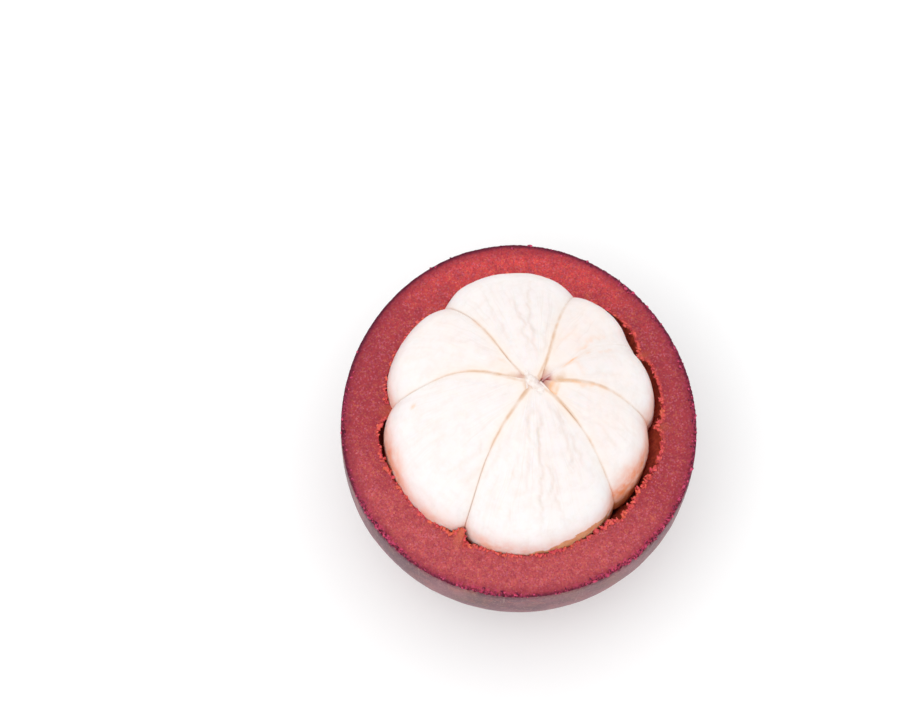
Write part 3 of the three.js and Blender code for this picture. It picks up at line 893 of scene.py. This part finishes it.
class MANGOSTEEN_OT_arils(bpy.types.Operator):
    """Replace the seven arils with soft, veined ones that meet in warm creases"""

    bl_idname = "mangosteen.arils"
    bl_label = "Arils"

    def execute(self, context):
        settings = context.scene.mangosteen_flesh
        material = flesh_material(settings)
        trees = {node: surface_of([node]) for node in (*ARILS, "rind")}
        trees["veins"] = wandering_lines(VEINS)
        trees["streaks"] = wandering_lines(STREAKS)
        made = {node: subdivided(merged_copy(node), 3) for node in ARILS}
        for node, bm in made.items():
            shape_aril(bm, node, trees, settings)
        shapes = {node: BVHTree.FromBMesh(bm) for node, bm in made.items()}
        for node, bm in made.items():
            mark_creases(bm, node, shapes)
            finished(bm, f"mangosteen_{node}", node, [material])
        return {"FINISHED"}


def height_of(trees, place, reach):
    """The height of the highest surface near a place seen from above."""
    heights = []
    for tree in trees:
        for aside in ((0, 0), (reach, 0), (-reach, 0), (0, reach), (0, -reach)):
            above = Vector((place.x + aside[0], place.y + aside[1], 60 * MM))
            point = tree.ray_cast(above, Vector((0, 0, -1)))[0]
            if point is not None:
                heights.append(point.z)
    return max(heights)


def add_lump(bm, place, radius, angle, chance):
    """One soft lump of the strand, a little longer along it."""
    sizes = (radius * chance.uniform(1.1, 1.5), radius, radius * chance.uniform(0.7, 0.9))
    matrix = Matrix.Translation(place) @ Matrix.Rotation(
        angle + chance.uniform(-0.5, 0.5), 4, "Z") @ Matrix.Diagonal((*sizes, 1))
    made = bmesh.ops.create_icosphere(bm, subdivisions=3, radius=1, matrix=matrix)["verts"]
    for vert in made:
        vert.co += (vert.co - place) * 0.22 * rough(vert.co, 0.8 * MM, 2)


class MANGOSTEEN_OT_scar(bpy.types.Operator):
    """Replace the core with the torn strand whose end shows between the arils"""

    bl_idname = "mangosteen.scar"
    bl_label = "Scar"

    def execute(self, context):
        settings = context.scene.mangosteen_flesh
        bm = subdivided(merged_copy("core"), 3)
        pit = bm.verts.layers.float.new("pit")
        for vert in bm.verts:
            vert.co.z += 0.2 * MM * smooth(vert.co.z, CROWN.z - 3 * MM, CROWN.z)
        chance = random.Random(3)
        shown = context.evaluated_depsgraph_get()
        flesh = [BVHTree.FromObject(bpy.data.objects[f"mangosteen_{node}"], shown) for node in ARILS]
        for start, end in zip(STRAND, STRAND[1:]):
            for share in (0, 0.5):
                x, y, radius = Vector(start).lerp(Vector(end), share)
                place = CROWN + Vector((
                    x + chance.uniform(-0.12, 0.12), y + chance.uniform(-0.12, 0.12), 0)) * MM
                radius *= chance.uniform(0.9, 1.1) * MM
                place.z = height_of(flesh, place, radius) - 0.55 * radius
                add_lump(bm, place, radius, math.atan2(end[1] - start[1], end[0] - start[0]), chance)
        for vert in bm.verts:
            vert[pit] = 0.55 * pit_depth((vert.co - CROWN).xy)
        finished(bm, "mangosteen_scar", "core", [scar_material(settings)])
        return {"FINISHED"}


# ---- Stage -------------------------------------------------------------------------------------

class MANGOSTEEN_OT_stage(bpy.types.Operator):
    """Add the pale floor, the soft light and the camera"""

    bl_idname = "mangosteen.stage"
    bl_label = "Stage"

    def execute(self, context):
        settings = context.scene.mangosteen_stage
        scene = context.scene
        scene.view_settings.view_transform = "Standard"

        bm = bmesh.new()
        bmesh.ops.create_circle(bm, cap_ends=True, segments=96, radius=4)
        mesh = bpy.data.meshes.new("floor")
        bm.to_mesh(mesh)
        bm.free()
        floor = bpy.data.objects.new("floor", mesh)
        scene.collection.objects.link(floor)
        # Painted board: a plain matt white sheet, so that the fruit's shadow stays soft.
        mesh.materials.append(new_material(
            "white_board", Base_Color=settings.floor[:], Roughness=0.9, Specular_IOR_Level=0.1)[0])

        world = bpy.data.worlds.new("studio")
        world.use_nodes = True
        world.node_tree.nodes["Background"].inputs["Color"].default_value = (1, 1, 1, 1)
        world.node_tree.nodes["Background"].inputs["Strength"].default_value = settings.fill
        scene.world = world

        key = bpy.data.lights.new("key", "AREA")
        key.shape, key.size, key.energy = "DISK", 0.9, settings.key_power
        lamp = bpy.data.objects.new("key", key)
        lamp.location = (-0.3, -0.4, 0.87)
        shining = Vector((0, 0, 0.03)) - lamp.location
        lamp.rotation_euler = shining.to_track_quat("-Z", "Y").to_euler()
        scene.collection.objects.link(lamp)

        back = Vector((0, -math.cos(settings.elevation), math.sin(settings.elevation)))
        up = Vector((0, math.sin(settings.elevation), math.cos(settings.elevation)))
        aim = Vector((-settings.aside, 0, CUT_HEIGHT)) + up * settings.beyond
        camera = bpy.data.cameras.new("camera")
        camera.lens, camera.sensor_width = settings.lens, 36
        camera.clip_start, camera.clip_end = 0.01, 20
        eye = bpy.data.objects.new("camera", camera)
        eye.location = aim + back * settings.distance
        eye.rotation_euler = (-back).to_track_quat("-Z", "Y").to_euler()
        scene.collection.objects.link(eye)
        scene.camera = eye
        return {"FINISHED"}


# ---- Add-on ------------------------------------------------------------------------------------

OPERATORS = (MANGOSTEEN_OT_rind, MANGOSTEEN_OT_arils, MANGOSTEEN_OT_scar, MANGOSTEEN_OT_stage)


class MANGOSTEEN_PT_panel(bpy.types.Panel):
    """The pieces and their settings"""

    bl_idname = "MANGOSTEEN_PT_panel"
    bl_label = "Cut Mangosteen"
    bl_space_type = "VIEW_3D"
    bl_region_type = "UI"
    bl_category = "Mangosteen"

    def draw(self, context):
        for operator in OPERATORS:
            self.layout.operator(operator.bl_idname)
        for group in (context.scene.mangosteen_rind, context.scene.mangosteen_flesh,
                      context.scene.mangosteen_stage):
            box = self.layout.box()
            for name in group.__annotations__:
                box.prop(group, name)


CLASSES = (MangosteenFlesh, MangosteenRind, MangosteenStage, *OPERATORS, MANGOSTEEN_PT_panel)


def register():
    for made in CLASSES:
        bpy.utils.register_class(made)
    bpy.types.Scene.mangosteen_flesh = PointerProperty(type=MangosteenFlesh)
    bpy.types.Scene.mangosteen_rind = PointerProperty(type=MangosteenRind)
    bpy.types.Scene.mangosteen_stage = PointerProperty(type=MangosteenStage)


def unregister():
    del bpy.types.Scene.mangosteen_stage
    del bpy.types.Scene.mangosteen_rind
    del bpy.types.Scene.mangosteen_flesh
    for made in reversed(CLASSES):
        bpy.utils.unregister_class(made)


def main():
    register()
    bpy.ops.mangosteen.stage()
    bpy.ops.mangosteen.rind()
    bpy.ops.mangosteen.arils()
    bpy.ops.mangosteen.scar()


if __name__ == "__main__":
    main()
